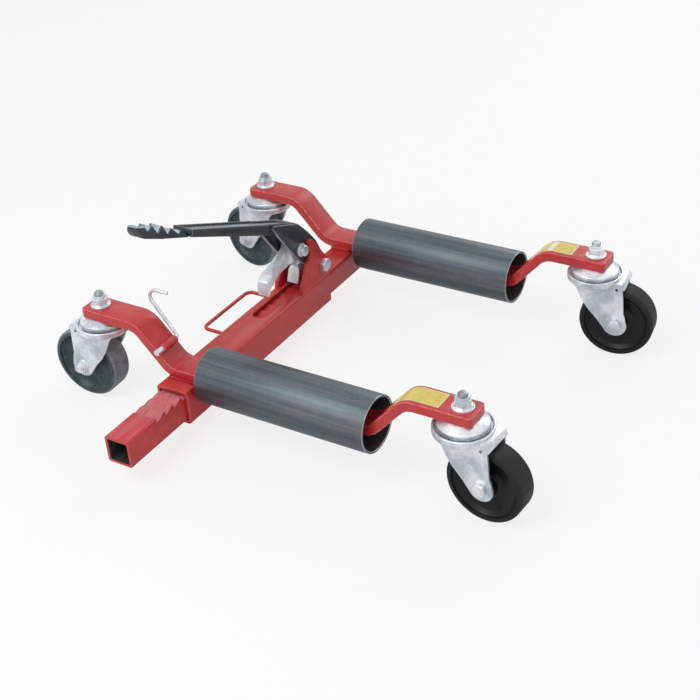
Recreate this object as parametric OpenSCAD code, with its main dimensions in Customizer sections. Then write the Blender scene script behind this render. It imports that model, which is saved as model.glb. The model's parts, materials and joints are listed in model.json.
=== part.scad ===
// Vehicle positioning jack: a foot-pumped roller cradle that closes round a tyre and
// carries it on four swivel casters. X runs along the rollers towards the open side,
// Y along the telescoping beam towards the rear arm, Z up from the floor. The origin
// is the floor point midway between the two rollers and midway along them.

/* [Rollers] */
// Distance between the two roller axes in the pose shown
roller_gap = 383; // [375:1:420]
// Length of each roller tube
roller_len = 245; // [180:1:320]
// Outside diameter of each roller tube
roller_d = 73.6; // [68:0.2:76]
// Wall of each roller tube
roller_wall = 3; // [2:0.1:4.5]
// Gap from the centreline of the beam to the inner end of each roller
roller_offset = 33.2; // [33:0.1:45]
// Diameter of the round axle inside each roller
axle_d = 25; // [20:0.5:30]
// Depth of the end bushes inside each roller
bush_recess = 30; // [26:1:45]
// Width of each end bush
bush_len = 14; // [8:1:20]
// Distance that the flat bars reach into each roller
bar_reach = 20; // [16:1:22]

/* [Arms] */
// Width of the flat bar of both arms
arm_w = 38; // [36:1:42]
// Thickness of the flat bar
arm_t = 12.7; // [10:0.1:14]
// Drop from the caster seats to the low stretch of the arms
arm_drop = 54.1; // [50:0.1:56]
// Slope of the bent stretches
arm_slope = 48; // [42:1:54]
// Bend radius at the middle of the bar
bend_r = 28; // [24:1:32]
// Distance from the beam to the left caster bolts
left_reach = 136.5; // [132:0.5:160]
// Distance from the beam to the left low bend of the front arm
front_bend = 18.8; // [18:0.2:26]
// Distance from the beam to the left low bend of the rear arm
rear_bend = 25.6; // [24:0.2:28]
// Distance from the outer end of the rollers to the right caster bolts
right_reach = 114.8; // [110:0.2:140]
// Length of the bars beyond the caster bolts
arm_end = 19; // [18:0.5:24]
// Corner radius of the bar ends
arm_corner = 5; // [2:0.5:9]

/* [Beam] */
// Outside width of the inner square tube
inner_size = 38; // [37:0.5:40]
// Wall of the inner tube
inner_wall = 4; // [3:0.1:5]
// Sliding clearance on each side between the two tubes
slide_gap = 0.5; // [0.3:0.1:0.8]
// Wall of the outer tube
outer_wall = 4.5; // [4:0.1:6]
// Corner radius of both tubes
tube_corner = 4; // [2.5:0.5:5]
// Length of the inner tube in front of the front arm
inner_front = 152; // [140:1:200]
// Length of the outer tube in front of the front arm
outer_front = 41.6; // [30:0.2:50]
// Gap between the outer tube and the rear arm when fully closed
closed_gap = 16.3; // [14:0.1:24]
// Distance from the front arm to the middle of the carry handle
handle_y = 180; // [170:1:190]
// Length of the grip of the carry handle
handle_len = 110; // [90:1:130]
// Reach of the carry handle from the middle of the beam
handle_reach = 77.5; // [65:0.5:85]
// Diameter of the carry handle rod
handle_rod = 5.2; // [4:0.1:8]

/* [Ratchet] */
// Pitch of the rack teeth
tooth_pitch = 17; // [16.8:0.1:17.2]
// Depth of the rack teeth
tooth_depth = 5.5; // [4.5:0.1:6]
// Number of teeth that the beam can open by
open_teeth = 11; // [6:1:14]
// Number of teeth that the beam can close by
close_teeth = 3; // [2:1:4]
// Number of teeth in front of the one that the drive pawl pushes
teeth_ahead = 15; // [10:1:17]
// Width of the rack bar inside the inner tube
rack_w = 25; // [20:1:26]
// Thickness of the rack bar
rack_t = 9; // [7:0.5:12]
// Width of the slot in the outer tube
slot_w = 24; // [22:0.5:26]
// Thickness of the two bracket plates
bracket_t = 6; // [5:0.5:6.5]
// Height of the pedal pivot above the beam
pivot_h = 18.8; // [18.4:0.2:20]
// Distance from the rear end of the outer tube to the pedal pivot
pivot_inset = 12; // [11:0.5:16]
// Diameter of the pedal pivot bolt
pivot_d = 12; // [10:0.5:12.5]
// Diameter of the pawl pivot bolt
pawl_pin_d = 10; // [8:0.5:10.5]
// Forward distance from the pedal pivot to the pawl pivot
pawl_fwd = 43; // [40:0.5:46]
// Height of the pawl pivot above the pedal pivot
pawl_up = 43.5; // [41:0.5:46]

/* [Pedal] */
// Slope of the pedal lever when fully raised
lever_tilt = 23.7; // [20:0.1:26]
// Distance from the pedal pivot up to the top face of the lever
lever_rise = 59.6; // [57:0.1:61]
// Distance along the lever from the pivot to the root of the bar
lever_start = 68; // [60:1:76]
// Distance along the lever from the pivot to the foot pad
lever_end = 307.5; // [280:0.5:340]
// Width of the lever in front of the cheeks
lever_w = 30; // [26:0.5:34]
// Depth of the lever at its root
lever_depth = 16.8; // [13:0.1:18]
// Depth of the lever at the foot pad
lever_tip_depth = 9.6; // [7:0.1:11]
// Depth of the groove along the lever
groove = 3.2; // [2:0.1:5]
// Thickness of the flanges on both sides of the groove
flange = 3; // [2:0.1:4]
// Thickness of the two cheeks of the pedal
cheek_t = 5; // [4:0.1:5.2]
// Width of the foot pad
pad_w = 18.6; // [16:0.2:24]
// Angle that the pedal sinks by until both pawls sit in the rack
pedal_travel = 28; // [24:0.5:30]

/* [Casters] */
// Diameter of the caster wheels
wheel_d = 100; // [96:0.5:102]
// Height of the arms above the tops of the wheels
caster_rise = 27.3; // [25:0.1:35]
// Height of the swivel bearing between each fork and its arm
bearing_h = 14.1; // [13.5:0.1:16]
// Width of the caster wheels
wheel_w = 32; // [28:0.5:34]
// Distance from the swivel axis to the wheel axle
trail = 33; // [28:0.5:36]
// Thickness of the pressed fork
fork_t = 3; // [2.5:0.1:4]
// Diameter of the lower raceway
race_d = 74; // [66:0.5:76]
// Diameter of the upper raceway
cap_d = 62; // [56:0.5:64]
// Diameter of the bearing balls
ball_d = 5; // [4:0.1:5.4]
// Number of balls in each bearing
balls = 14; // [8:1:18]
// Diameter of the caster bolts
king_d = 12; // [10:0.5:12.5]
// Diameter of the wheel bolts
wheel_bolt_d = 10; // [8:0.5:10.5]
// Swivel angle of the front right caster
swing_fr = -3.6; // [-180:0.1:180]
// Swivel angle of the rear right caster
swing_rr = 8.1; // [-180:0.1:180]
// Swivel angle of the front left caster
swing_fl = 182.6; // [0:0.1:360]
// Swivel angle of the rear left caster
swing_rl = 171; // [0:0.1:360]

/* [Hook] */
// Diameter of the hook wire
hook_d = 4.8; // [4:0.1:5.5]
// Length of the straight part of the hook
hook_arm = 55.7; // [45:0.1:65]
// Inside-out bend radius of the hook at the middle of the wire
hook_r = 11.5; // [9:0.5:14]
// Length of the straight tip of the hook
hook_tip = 19; // [10:1:24]
// Slope of the hook when it stands up
hook_tilt = 127.6; // [110:0.2:135]
// Outside diameter of the hook boss
boss_d = 11; // [9:0.5:15]
// Distance up the slope of the front arm to the hook boss
boss_along = 29.4; // [22:0.2:32]
// Length of the hook boss
boss_len = 25.8; // [20:0.2:34]
// Diameter of the stop sleeve on the tail of the hook
stop_d = 8; // [6:0.5:10]
// Length of the stop sleeve
stop_len = 12.8; // [6:0.2:16]

/* [Hidden] */
$fn = 64;
run = 0.05; // radial clearance of a running fit
seat = 0.3; // gap between a moving piece and its seat
beam_x = -roller_len / 2 - roller_offset;
front_y = -roller_gap / 2;
rear_y = roller_gap / 2;
roller_x0 = -roller_len / 2;
roller_x1 = roller_len / 2;
caster_h = wheel_d + caster_rise;
beam_top = caster_h - arm_drop;
axle_z = beam_top + arm_t / 2;
outer_size = inner_size + 2 * (slide_gap + outer_wall);
beam_z = beam_top - outer_size / 2;
inner_top = beam_z + inner_size / 2;
close_travel = close_teeth * tooth_pitch;
open_travel = open_teeth * tooth_pitch;
outer_rear = roller_gap - arm_w / 2 - close_travel - closed_gap;
inner_rear = roller_gap + arm_w / 2;
pivot_y = outer_rear - pivot_inset;
pivot_z = beam_top + pivot_h;
pawl_y = pivot_y - pawl_fwd;
pawl_z = pivot_z + pawl_up;
bracket_in = outer_size / 2 - bracket_t;
cheek_out = bracket_in - 0.6;
cheek_in = cheek_out - cheek_t;
hub_half = cheek_in - seat;
left_bolt_x = beam_x - left_reach;
right_bolt_x = roller_x1 + right_reach;
wheel_r = wheel_d / 2;
sleeve_r = wheel_bolt_d / 2 + 2.5;
fork_in = wheel_w / 2 + 2.5;
fork_out = fork_in + fork_t;
crown_z = caster_h - bearing_h;
crown_under = crown_z - fork_t;
// Both pawls with the pedal down, in Y and Z from the front arm: the steep face that
// the drive pawl pushes sets where the teeth lie, and the holding pawl drops in
// hold_ahead teeth behind it, hold_free off its steep face so that its toe clears the
// tip of the tooth on the way
toe_lift = 0.6;
tooth_slope = atan(tooth_depth / tooth_pitch);
valley_z = inner_top - tooth_depth;
toe_z = valley_z + toe_lift;
drive_toe = [-72.5, -39.5];
pawl_down = [pivot_y, pivot_z] + turned([-pawl_fwd, pawl_up], pedal_travel);
drive_drop = toe_z - pawl_down.y;
drive_down = [-sqrt(drive_toe * drive_toe - drive_drop * drive_drop), drive_drop];
drive_swing = atan2(drive_down.y, drive_down.x) - atan2(drive_toe.y, drive_toe.x);
steep_y = pawl_down.x + drive_down.x - tooth_depth * tan(drive_swing) - seat;
first_tooth = teeth_ahead * tooth_pitch - steep_y;
hold_ahead = 5;
hold_free = 2.8;
hold_down = [
    steep_y + hold_ahead * tooth_pitch + seat + hold_free - pivot_y,
    toe_z + hold_free * tan(tooth_slope) - pivot_z
];
hold_rest_z = -12;
hold_toe = [-sqrt(hold_down * hold_down - hold_rest_z * hold_rest_z), hold_rest_z];
hold_swing = atan2(hold_down.y, hold_down.x) - atan2(hold_toe.y, hold_toe.x);
tooth_count = teeth_ahead + hold_ahead + close_teeth + 1;

CASTERS = [
    [right_bolt_x, front_y, swing_fr], [right_bolt_x, rear_y, swing_rr],
    [left_bolt_x, front_y, swing_fl], [left_bolt_x, rear_y, swing_rl]
];

RED = [0.78, 0.22, 0.24];
BLACK = [0.09, 0.10, 0.11];
ZINC = [0.78, 0.80, 0.83];
STEEL = [0.30, 0.34, 0.38];

// A point turned about the origin, a unit vector, and outlines given as [x, y, radius]
function turned(p, a) = [p.x * cos(a) - p.y * sin(a), p.x * sin(a) + p.y * cos(a)];
function unit(v) = v / norm(v);
function corner(a, b, c, r, n) =
    let (u = unit(a - b), v = unit(c - b), half = acos(u * v) / 2,
         mid = b + unit(u + v) * r / sin(half),
         p = b + u * r / tan(half) - mid, q = b + v * r / tan(half) - mid,
         a0 = atan2(p.y, p.x), turn = atan2(p.x * q.y - p.y * q.x, p * q))
    [for (i = [0:n]) mid + r * [cos(a0 + turn * i / n), sin(a0 + turn * i / n)]];
function xy(p) = [p.x, p.y];
function rounded(pts, steps = 6) = let (n = len(pts))
    [for (i = [0:n - 1]) each (pts[i][2] > 0
        ? corner(xy(pts[(i + n - 1) % n]), xy(pts[i]), xy(pts[(i + 1) % n]), pts[i][2], steps)
        : [xy(pts[i])])];

// Extrudes an outline drawn in X and Z along Y, or one drawn in Y and Z along X
module along_y(w) { rotate([90, 0, 0]) linear_extrude(w, center = true) children(); }
module along_x(w) { rotate([90, 0, 90]) linear_extrude(w, center = true) children(); }

// Extrudes an outline drawn in Y and X, as seen from above, through the whole height
module from_above() { mirror([1, -1, 0]) linear_extrude(4 * outer_size, center = true) children(); }

// Square with true round corners
module rounded_square(size, r) {
    square([size, size - 2 * r], center = true);
    square([size - 2 * r, size], center = true);
    for (x = [-1, 1], y = [-1, 1])
        translate([x, y] * (size / 2 - r)) circle(r);
}

module hexagon(across) { circle(d = across / cos(30), $fn = 6); }

// Bolt along +Z from the underside of its head at z = 0, with its head below
module bolt(d, length, head_w, head_h) {
    cylinder(d = d, h = length);
    intersection() {
        translate([0, 0, -head_h]) linear_extrude(head_h) hexagon(head_w);
        translate([0, 0, -head_h]) cylinder(d1 = head_w * 0.98, d2 = head_w * 1.5, h = head_h);
    }
}

// Lock nut with a flange, from z = 0 upwards, round a bolt that is slightly smaller
module lock_nut(d, across, h, flange_d) {
    difference() {
        union() {
            cylinder(d1 = flange_d, d2 = flange_d * 0.86, h = h * 0.16);
            linear_extrude(h * 0.72) hexagon(across);
            cylinder(d1 = across, d2 = across * 0.86, h = h);
        }
        translate([0, 0, -1]) cylinder(d = d + 2 * run, h = h + 2);
    }
}

// Places its children at the front or rear arm, with x = 0 on the beam
module at_front() { translate([beam_x, front_y, 0]) children(); }
module at_rear() { translate([beam_x, rear_y, 0]) children(); }

// Bent flat bar in X and Z: low stretch from low_from back to low_x, slope up to the
// caster seat and on to end_x. It rises towards -X.
module bent_outline(low_from, low_x, end_x) {
    high_z = caster_h + arm_t / 2;
    high_x = low_x - (high_z - axle_z) / tan(arm_slope);
    shift = arm_t / 2 * tan(arm_slope / 2);
    inner = bend_r - arm_t / 2;
    outer = bend_r + arm_t / 2;
    polygon(rounded([
        [low_from, axle_z + arm_t / 2, 0], [low_x + shift, axle_z + arm_t / 2, inner],
        [high_x + shift, high_z + arm_t / 2, outer], [end_x, high_z + arm_t / 2, 0],
        [end_x, high_z - arm_t / 2, 0], [high_x - shift, high_z - arm_t / 2, inner],
        [low_x - shift, axle_z - arm_t / 2, outer], [low_from, axle_z - arm_t / 2, 0]
    ], 12));
}

// Flat bar from a bent outline that ends at end_x with rounded corners and a bolt
// hole arm_end before its end
module bent_bar(low_from, low_x, end_x) {
    difference() {
        along_y(arm_w) bent_outline(low_from, low_x, end_x);
        translate([end_x + arm_end, 0, caster_h - 1])
            cylinder(d = king_d + 2 * run, h = arm_t + 2);
        for (side = [-1, 1])
            translate([end_x + arm_corner, side * (arm_w / 2 - arm_corner), caster_h - 1])
                difference() {
                    translate([-arm_corner - 1, side > 0 ? 0 : -arm_corner - 1, 0])
                        cube([arm_corner + 1, arm_corner + 1, arm_t + 2]);
                    translate([0, 0, -1]) cylinder(r = arm_corner, h = arm_t + 4);
                }
    }
}

module arm_inner_bar(bend) {
    bent_bar(roller_offset + bar_reach, -bend, -left_reach - arm_end);
}

// The right-hand bar is the same shape mirrored, with its low bend at the roller mouth
module arm_outer_bar() {
    reach = roller_offset + roller_len;
    mirror([1, 0, 0])
        bent_bar(bar_reach - reach, 1 - reach, -reach - right_reach - arm_end);
}

module axle_rod() {
    translate([roller_offset + bar_reach, 0, axle_z]) rotate([0, 90, 0])
        cylinder(d = axle_d, h = roller_len - 2 * bar_reach);
}

// Collars that keep the roller in place, between its bushes and the flat bars
module axle_collars() {
    inset = bar_reach + seat;
    collar = bush_recess - inset - 2 * seat;
    for (x = [roller_offset + inset, roller_offset + roller_len - inset - collar])
        translate([x, 0, axle_z]) rotate([0, 90, 0]) difference() {
            cylinder(d = axle_d + 11, h = collar);
            translate([0, 0, -1]) cylinder(d = axle_d, h = collar + 2);
        }
}

module roller_tube() {
    translate([roller_offset, 0, axle_z]) rotate([0, 90, 0])
        difference() {
            cylinder(d = roller_d, h = roller_len, $fn = 128);
            translate([0, 0, -1])
                cylinder(d = roller_d - 2 * roller_wall, h = roller_len + 2, $fn = 128);
        }
}

// Flanged plastic bushes pressed into the roller, which turn on the axle
module roller_bushes() {
    for (x = [roller_offset + bush_recess, roller_offset + roller_len - bush_recess - bush_len])
        translate([x, 0, axle_z]) rotate([0, 90, 0]) difference() {
            cylinder(d = roller_d - 2 * roller_wall, h = bush_len, $fn = 128);
            translate([0, 0, -1]) cylinder(d = axle_d + 2 * run, h = bush_len + 2);
        }
}

// Square tube along Y from y0 to y1 on the beam axis
module square_tube(size, wall, y0, y1) {
    translate([0, (y0 + y1) / 2, beam_z]) rotate([90, 0, 0])
        linear_extrude(y1 - y0, center = true) difference() {
            rounded_square(size, tube_corner);
            rounded_square(size - 2 * wall, max(tube_corner - wall, 1));
        }
}

// Slot through the top of the outer tube for both pawls
slot_from = steep_y - 10;
slot_to = pivot_y - 12;

module outer_tube() color(RED) at_front() difference() {
    square_tube(outer_size, outer_wall, -outer_front, outer_rear);
    translate([0, 0, beam_top - outer_wall - 1]) linear_extrude(outer_wall + 2) {
        for (y = [slot_from + slot_w / 2, slot_to - slot_w / 2])
            translate([0, y]) circle(d = slot_w);
        translate([-slot_w / 2, slot_from + slot_w / 2])
            square([slot_w, slot_to - slot_from - slot_w]);
    }
}

// Saw teeth, each a steep face towards the rear arm and a long slope to the front
module tooth_cuts() {
    for (i = [0:tooth_count - 1]) {
        y0 = i * tooth_pitch - first_tooth;
        along_x(inner_size + 2)
            polygon([[y0, inner_top + 1], [y0, inner_top - tooth_depth],
                [y0 + tooth_pitch, inner_top], [y0 + tooth_pitch, inner_top + 1]]);
    }
}

module inner_tube() color(RED) at_front() difference() {
    square_tube(inner_size, inner_wall, -inner_front, inner_rear);
    tooth_cuts();
}

module rack_bar() color(RED) at_front() difference() {
    translate([-rack_w / 2, -first_tooth - 6, inner_top - inner_wall - rack_t])
        cube([rack_w, tooth_count * tooth_pitch + 12, rack_t]);
    tooth_cuts();
}

// Pad that lifts the rear arm to the height of the front arm
module rear_arm_pad() color(RED) at_rear()
    translate([-inner_size / 2 + tube_corner, -arm_w / 2, inner_top])
        cube([inner_size - 2 * tube_corner, arm_w, beam_top - inner_top]);

// Bracket plate in Y and Z, measured from the pedal pivot
BRACKET = [
    [-57, -pivot_h - tube_corner, 0], [-57, -pivot_h, 4], [-54, -10, 8], [-29.5, 28, 8],
    [-29.5, 51, 2], [-22, 51, 3], [15, 0, 8], [pivot_inset, -pivot_h, 0],
    [pivot_inset, -pivot_h - tube_corner, 0]
];
module bracket_plate() {
    difference() {
        translate([bracket_in + bracket_t / 2, pivot_y, pivot_z]) along_x(bracket_t)
            polygon(rounded(BRACKET));
        translate([0, pivot_y, beam_z]) rotate([90, 0, 0])
            linear_extrude(4 * outer_size, center = true) rounded_square(outer_size, tube_corner);
        translate([0, pivot_y, pivot_z]) rotate([0, 90, 0])
            cylinder(d = pivot_d + 2 * run, h = outer_size);
    }
}
module bracket_right() color(RED) at_front() bracket_plate();
module bracket_left() color(RED) at_front() mirror([1, 0, 0]) bracket_plate();

// The pedal pivot bolt runs through both bracket plates, its head on the roller side
pivot_grip = outer_size;
module pedal_pivot_bolt() color(ZINC) at_front()
    translate([outer_size / 2, pivot_y, pivot_z]) rotate([0, -90, 0])
        bolt(pivot_d, pivot_grip + pivot_d + 3, 18, 6.5);
module pedal_pivot_nut() color(ZINC) at_front()
    translate([-outer_size / 2, pivot_y, pivot_z]) rotate([0, -90, 0])
        lock_nut(pivot_d, 18, 11, 22);

// The pawl pivot bolt runs through both cheeks of the pedal, with a washer under its head
pin_washer = 3;
module pawl_pivot_bolt() color(ZINC) at_front()
    translate([cheek_out + pin_washer, pawl_y, pawl_z]) rotate([0, -90, 0]) {
        bolt(pawl_pin_d, 2 * cheek_out + pin_washer + pawl_pin_d, 15, 6);
        cylinder(d = pawl_pin_d + 9, h = pin_washer);
    }
module pawl_pivot_nut() color(ZINC) at_front()
    translate([-cheek_out, pawl_y, pawl_z]) rotate([0, -90, 0])
        lock_nut(pawl_pin_d, 15, 8.5, 18);

// Cheek of the pedal in Y and Z, measured from the pedal pivot
CHEEK = [
    [-106, 109, 3], [-42, 83, 10], [-21, 61, 8], [-4, 40, 20], [13, 6, 10], [9, -13, 10],
    [-13, -13, 9], [-22, 6, 12], [-44.6, 25, 10], [-72.5, 62, 60], [-97, 98, 10]
];
module pedal_cheek() {
    difference() {
        translate([(cheek_in + cheek_out) / 2, pivot_y, pivot_z]) along_x(cheek_t)
            polygon(rounded(CHEEK));
        translate([0, pivot_y, pivot_z]) rotate([0, 90, 0])
            cylinder(d = pivot_d + 2 * run, h = outer_size);
        translate([0, pawl_y, pawl_z]) rotate([0, 90, 0])
            cylinder(d = pawl_pin_d + 2 * run, h = outer_size);
    }
}
module pedal_cheek_right() color(BLACK) at_front() pedal_cheek();
module pedal_cheek_left() color(BLACK) at_front() mirror([1, 0, 0]) pedal_cheek();

// Places an outline drawn along the lever (x) and up from the pivot (y), with its
// thickness across the lever
module on_lever(w) {
    at_front() translate([0, pivot_y, pivot_z]) rotate([-lever_tilt, 0, 0])
        rotate([90, 0, -90]) linear_extrude(w, center = true) children();
}

// Channel bar that deepens towards the pivot: a tongue between the cheeks, and from
// their tips on the full width. The groove in its top runs almost to the foot pad.
shoulder = -CHEEK[0].x * cos(lever_tilt) + CHEEK[0].y * sin(lever_tilt) + 2 * seat;
module pedal_lever() color(BLACK) difference() {
    on_lever(lever_w)
        polygon(rounded([
            [lever_start, lever_rise, 6], [lever_start, lever_rise - lever_depth, 4],
            [lever_end, lever_rise - lever_tip_depth, 0], [lever_end, lever_rise, 0]
        ]));
    on_lever(2 * (cheek_in - flange))
        translate([lever_start + 18, lever_rise - groove])
            square([shoulder - lever_start, 2 * groove]);
    on_lever(lever_w - 2 * flange)
        translate([shoulder + flange, lever_rise - groove])
            square([lever_end - shoulder - 2 * flange, 2 * groove]);
    for (side = [-1, 1])
        at_front() translate([side * (cheek_in + lever_w), pivot_y, pivot_z])
            rotate([-lever_tilt, 0, 0]) translate([-lever_w, -shoulder, 0])
                cube([2 * lever_w, shoulder, 2 * lever_rise]);
}

// Foot pad along the lever and up, measured from the end of the lever's top face: a bar
// with four teeth towards the toe and a raised tip
FOOT_PAD = [
    [0, -10.6, 0], [52.5, -10.6, 20], [87.5, -9, 12], [95.2, -1.6, 3], [97, 0.4, 1],
    [97, 3.8, 1], [84.5, 3.8, 1], [80.5, -0.2, 3], [75.6, -0.4, 1.5], [72.6, 5.7, 0.6],
    [58.4, -4.9, 1.5], [53.5, 5.5, 0.6], [39, -7.3, 1.5], [34.4, 1, 0.6], [17.8, -6.7, 1.5],
    [15.2, -1.7, 0.6], [0, -6.8, 0]
];
module foot_pad() color(BLACK) intersection() {
    on_lever(pad_w) translate([lever_end, lever_rise]) polygon(rounded(FOOT_PAD));
    at_front() translate([0, pivot_y, pivot_z]) rotate([-lever_tilt, 0, 0])
        rotate([90, 0, -90]) rotate([-90, 0, 0])
        linear_extrude(4 * lever_rise, center = true) translate([lever_end, 0])
        polygon(rounded([
            [0, -pad_w / 2, 0], [FOOT_PAD[5].x, -pad_w / 2, 4],
            [FOOT_PAD[5].x, pad_w / 2, 4], [0, pad_w / 2, 0]
        ]));
}

// Drive pawl in Y and Z, measured from its pivot: a deep arm and a broad toe whose
// sole lies along the slope of a tooth when the pedal is down
drive_sole = drive_toe + 5 * [cos(tooth_slope - drive_swing), sin(tooth_slope - drive_swing)];
DRIVE_PAWL = [
    [6, 13, 10], [-28, 0.5, 20], [-44, -4.5, 20], [-61, -12.5, 10], [-71, -19, 5],
    [drive_toe.x, -28, 4], [drive_toe.x, drive_toe.y, 0.6], [drive_sole.x, drive_sole.y, 0.6],
    [-64, -28, 3], [-52, -29, 8], [-40, -22, 10], [-20, -21, 20], [8, -16, 14], [14, 0, 12]
];
blade_half = 5;
toe_half = 8.4;
module drive_pawl() color(ZINC) at_front() translate([0, pawl_y, pawl_z]) difference() {
    union() {
        intersection() {
            along_x(2 * toe_half) polygon(rounded(DRIVE_PAWL));
            from_above() polygon([
                [drive_toe.x - 8, -toe_half], [drive_toe.x + 12, -toe_half],
                [drive_toe.x + 22, -blade_half], [-14, -blade_half], [-8, -toe_half],
                [20, -toe_half], [20, toe_half], [-8, toe_half], [-14, blade_half],
                [drive_toe.x + 22, blade_half], [drive_toe.x + 12, toe_half],
                [drive_toe.x - 8, toe_half]
            ]);
        }
        rotate([0, 90, 0]) translate([0, 0, -toe_half])
            cylinder(d = pawl_pin_d + 10, h = toe_half + hub_half);
    }
    rotate([0, 90, 0]) cylinder(d = pawl_pin_d + 2 * run, h = outer_size, center = true);
}

// Holding pawl in Y and Z, measured from the pedal pivot: a gooseneck with a broad toe
// whose face stands upright against a tooth when the pedal is down
hold_face = hold_toe + 13 * [sin(hold_swing), cos(hold_swing)];
HOLDING_PAWL = [
    [8, 10, 9], [hold_toe.x * 0.39, 14, 12], [hold_toe.x + 9.5, 13, 9],
    [hold_face.x, hold_face.y, 4], [hold_toe.x, hold_toe.y, 0.6],
    [hold_toe.x + 5.5, hold_toe.y + 0.2, 0.6], [hold_toe.x + 7.5, -1, 5],
    [hold_toe.x + 14.5, 2, 10], [hold_toe.x * 0.35, -4, 8], [-6, -12, 8], [10, -9, 9]
];
neck_half = 4.5;
hold_half = 9;
module holding_pawl() color(ZINC) at_front() translate([0, pivot_y, pivot_z]) difference() {
    union() {
        intersection() {
            along_x(2 * hold_half) polygon(rounded(HOLDING_PAWL));
            from_above() translate([hold_toe.x, 0]) polygon([
                [-14, -hold_half], [6.5, -hold_half], [11.5, -neck_half],
                [20 - hold_toe.x, -neck_half], [20 - hold_toe.x, neck_half],
                [11.5, neck_half], [6.5, hold_half], [-14, hold_half]
            ]);
        }
        rotate([0, 90, 0]) cylinder(d = pivot_d + 9, h = 2 * neck_half, center = true);
    }
    rotate([0, 90, 0]) cylinder(d = pivot_d + 2 * run, h = outer_size, center = true);
}

// Torsion spring as one unbroken tube along +Z, in rings of spring_sides points. The
// straight stretches between its rings stay seat clear of the bolt inside.
spring_steps = 8;
spring_sides = 6;
function coil_points(bolt, wire, turns) = [
    for (i = [0:turns * spring_steps], k = [0:spring_sides - 1])
        let (a = i * 360 / spring_steps, b = k * 360 / spring_sides,
             inner = (bolt / 2 + seat) / cos(180 / spring_steps),
             out = inner + wire / 2 * (1 + cos(b)))
        [out * cos(a), out * sin(a), (wire + spring_gap) * a / 360 + wire / 2 * sin(b)]
];
// Least distance between two points of a coil that lie half a turn or more apart
function coil_gap(pts) = let (skip = spring_sides * spring_steps / 2) min([
    for (i = [0:len(pts) - skip - 1], j = [i + skip:len(pts) - 1]) norm(pts[i] - pts[j])
]);
module coil(bolt, wire, turns) {
    pts = coil_points(bolt, wire, turns);
    rings = len(pts) / spring_sides;
    echo(least_gap_of_spring_to_itself_mm = coil_gap(pts));
    polyhedron(pts, concat(
        [for (i = [0:rings - 2], k = [0:spring_sides - 1])
            let (p = i * spring_sides + k, q = i * spring_sides + (k + 1) % spring_sides)
            each [[p, q, q + spring_sides], [p, q + spring_sides, p + spring_sides]]],
        [for (k = [1:spring_sides - 2]) each [[0, k + 1, k],
            [len(pts) - spring_sides, len(pts) - spring_sides + k,
                len(pts) - spring_sides + k + 1]]]
    ));
}

spring_wire = 1.8;
fine_wire = 1.2;
spring_gap = 0.5;
module pedal_spring() color(STEEL) at_front()
    translate([-neck_half - seat - spring_wire / 2, pivot_y, pivot_z]) rotate([0, -90, 0])
        coil(pivot_d, spring_wire, 2.5);
module holding_pawl_spring() color(STEEL) at_front()
    translate([neck_half + seat + spring_wire / 2, pivot_y, pivot_z]) rotate([0, 90, 0])
        coil(pivot_d, spring_wire, 2.5);
module drive_pawl_spring() color(STEEL) at_front()
    translate([-toe_half - seat - fine_wire / 2, pawl_y, pawl_z]) rotate([0, -90, 0])
        coil(pawl_pin_d, fine_wire, 1.25);

// Carry handle: a rod bent to a U and welded to the left side of the outer tube
module carry_handle() color(RED) at_front() translate([0, handle_y, beam_z]) {
    bend = 10;
    leg = handle_reach - bend - outer_size / 2;
    translate([-handle_reach, 0, 0]) rotate([90, 0, 0])
        cylinder(d = handle_rod, h = handle_len - 2 * bend, center = true);
    for (side = [-1, 1]) {
        translate([-outer_size / 2 - leg, side * handle_len / 2, 0]) rotate([0, 90, 0])
            cylinder(d = handle_rod, h = leg);
        translate([-handle_reach + bend, side * (handle_len / 2 - bend), 0])
            rotate(side > 0 ? 90 : 180) rotate_extrude(angle = 90)
                translate([bend, 0]) circle(d = handle_rod);
    }
}

// Hook boss on the slope of the front arm, and the hook that turns in it
boss_x = -front_bend - boss_along * cos(arm_slope) + (arm_t + boss_d) / 2 * sin(arm_slope);
boss_z = axle_z + boss_along * sin(arm_slope) + (arm_t + boss_d) / 2 * cos(arm_slope);
boss_half = boss_len / 2;
module at_boss() { at_front() translate([boss_x, 0, boss_z]) children(); }

module hook_boss() color(RED) at_boss() rotate([90, 0, 0]) difference() {
    cylinder(d = boss_d, h = 2 * boss_half, center = true);
    cylinder(d = hook_d + 2 * run, h = 2 * boss_half + 2, center = true);
}

module storage_hook() color(ZINC) at_boss() {
    elbow = 5;
    out = boss_half + seat + 0.8 + elbow;
    tail = boss_half + seat + stop_len + 1;
    translate([0, out - elbow, 0]) rotate([90, 0, 0]) cylinder(d = hook_d, h = out - elbow + tail);
    translate([0, out, 0]) rotate([0, -hook_tilt, 0]) {
        translate([elbow, -elbow, 0]) rotate(90) rotate_extrude(angle = 90)
            translate([elbow, 0]) circle(d = hook_d);
        translate([elbow, 0, 0]) rotate([0, 90, 0]) cylinder(d = hook_d, h = hook_arm - elbow);
        translate([hook_arm, 0, -hook_r]) {
            rotate([-90, 0, 0]) rotate(-90) rotate_extrude(angle = hook_tilt)
                translate([hook_r, 0]) circle(d = hook_d);
            rotate([0, hook_tilt, 0]) translate([-0.4, 0, hook_r]) rotate([0, 90, 0])
                cylinder(d1 = hook_d - 0.2, d2 = hook_d - 0.6, h = hook_tip);
        }
    }
    translate([0, -boss_half - seat, 0]) rotate([90, 0, 0]) cylinder(d = stop_d, h = stop_len);
}

// Places a caster part, which is drawn round the swivel axis with its trail along +X
module at_caster(i) {
    translate([CASTERS[i][0], CASTERS[i][1], 0]) rotate(CASTERS[i][2]) children();
}

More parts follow.
